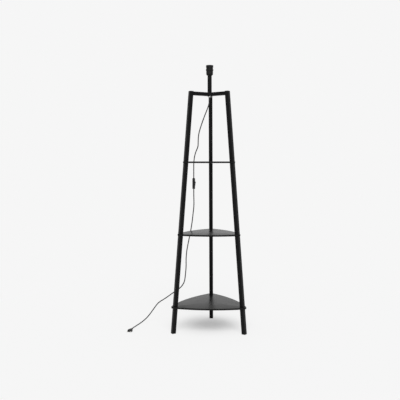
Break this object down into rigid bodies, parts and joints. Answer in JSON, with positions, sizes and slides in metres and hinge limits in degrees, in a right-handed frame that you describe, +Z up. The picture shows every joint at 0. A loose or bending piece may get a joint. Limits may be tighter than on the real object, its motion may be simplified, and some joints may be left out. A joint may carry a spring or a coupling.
{
  "type": "shelf floor lamp",
  "caption": "Floor lamp on tapering square-tube legs with bowed triangular shelves between them, a bare screw lampholder on a short stem and a cord with a rocker switch.",
  "frame": {"origin": "on the floor, middle of the footprint of feet and bottom shelf", "axes": "+Z up; +Y towards the rear leg; +X to the right seen from the front, where the two front legs stand"},
  "size_m": [0.6697, 0.3958, 1.5],
  "materials": {
    "frame_paint": "satin black powder coat, finely textured",
    "shelf_board": "fibreboard with a satin black melamine face and edge",
    "foot_plastic": "matte black moulded plastic",
    "zinc_steel": "bright zinc plate",
    "socket_brass": "pressed brass",
    "holder_plastic": "matte black moulded thermoplastic",
    "insert_ceramic": "glazed white ceramic",
    "bush_plastic": "natural white nylon",
    "cord_sheath": "smooth black flexible sheath",
    "switch_plastic": "black moulded plastic, satin",
    "plug_plastic": "matte black moulded plastic",
    "pin_nickel": "nickel plated"
  },
  "bodies": {
    "lamp": {"bottom_shelf": "shelf_board", "centre_contact": "socket_brass", "cord_bush": "bush_plastic", "cord_inside": "cord_sheath", "cord_lower": "cord_sheath", "cord_upper": "cord_sheath", "end_cap_left": "foot_plastic", "end_cap_rear": "foot_plastic", "end_cap_right": "foot_plastic", "foot_glide_left": "foot_plastic", "foot_glide_rear": "foot_plastic", "foot_glide_right": "foot_plastic", "holder_lock_nut": "zinc_steel", "holder_lower_shell": "holder_plastic", "holder_upper_shell": "holder_plastic", "hub_block": "frame_paint", "hub_lock_nut": "zinc_steel", "hub_washer": "zinc_steel", "leg_foot_left": "frame_paint", "leg_foot_rear": "frame_paint", "leg_foot_right": "frame_paint", "leg_lower_left": "frame_paint", "leg_lower_rear": "frame_paint", "leg_lower_right": "frame_paint", "leg_middle_left": "frame_paint", "leg_middle_rear": "frame_paint", "leg_middle_right": "frame_paint", "leg_upper_left": "frame_paint", "leg_upper_rear": "frame_paint", "leg_upper_right": "frame_paint", "middle_shelf": "shelf_board", "plug_body": "plug_plastic", "plug_pins": "pin_nickel", "plug_strain_relief": "plug_plastic", "screw_shell": "socket_brass", "shelf_studs_bottom": "zinc_steel", "shelf_studs_middle": "zinc_steel", "shelf_studs_upper": "zinc_steel", "socket_insert": "insert_ceramic", "spoke_left": "frame_paint", "spoke_rear": "frame_paint", "spoke_right": "frame_paint", "stem_tube": "frame_paint", "switch_axle": "zinc_steel", "switch_back_shell": "switch_plastic", "switch_front_shell": "switch_plastic", "switch_screws": "zinc_steel", "switch_terminals": "socket_brass", "terminal_screws": "socket_brass", "threaded_rod": "zinc_steel", "tube_inserts_bottom": "zinc_steel", "tube_inserts_middle": "zinc_steel", "tube_inserts_upper": "zinc_steel", "upper_shelf": "shelf_board"},
    "rocker": {"switch_rocker": "switch_plastic"},
    "shade_ring": {"shade_ring": "holder_plastic"}
  },
  "joints": [
    {"name": "rocker_hinge", "type": "hinge", "parent": "lamp", "child": "rocker", "pos_m": [-0.0915, 0.04757, 0.828], "axis": [0, 1, 0], "range_deg": [-16, 0]},
    {"name": "shade_ring_travel", "type": "slide", "parent": "lamp", "child": "shade_ring", "axis": [0, 0, 1], "range_m": [-0.0095, 0.008]}
  ]
}
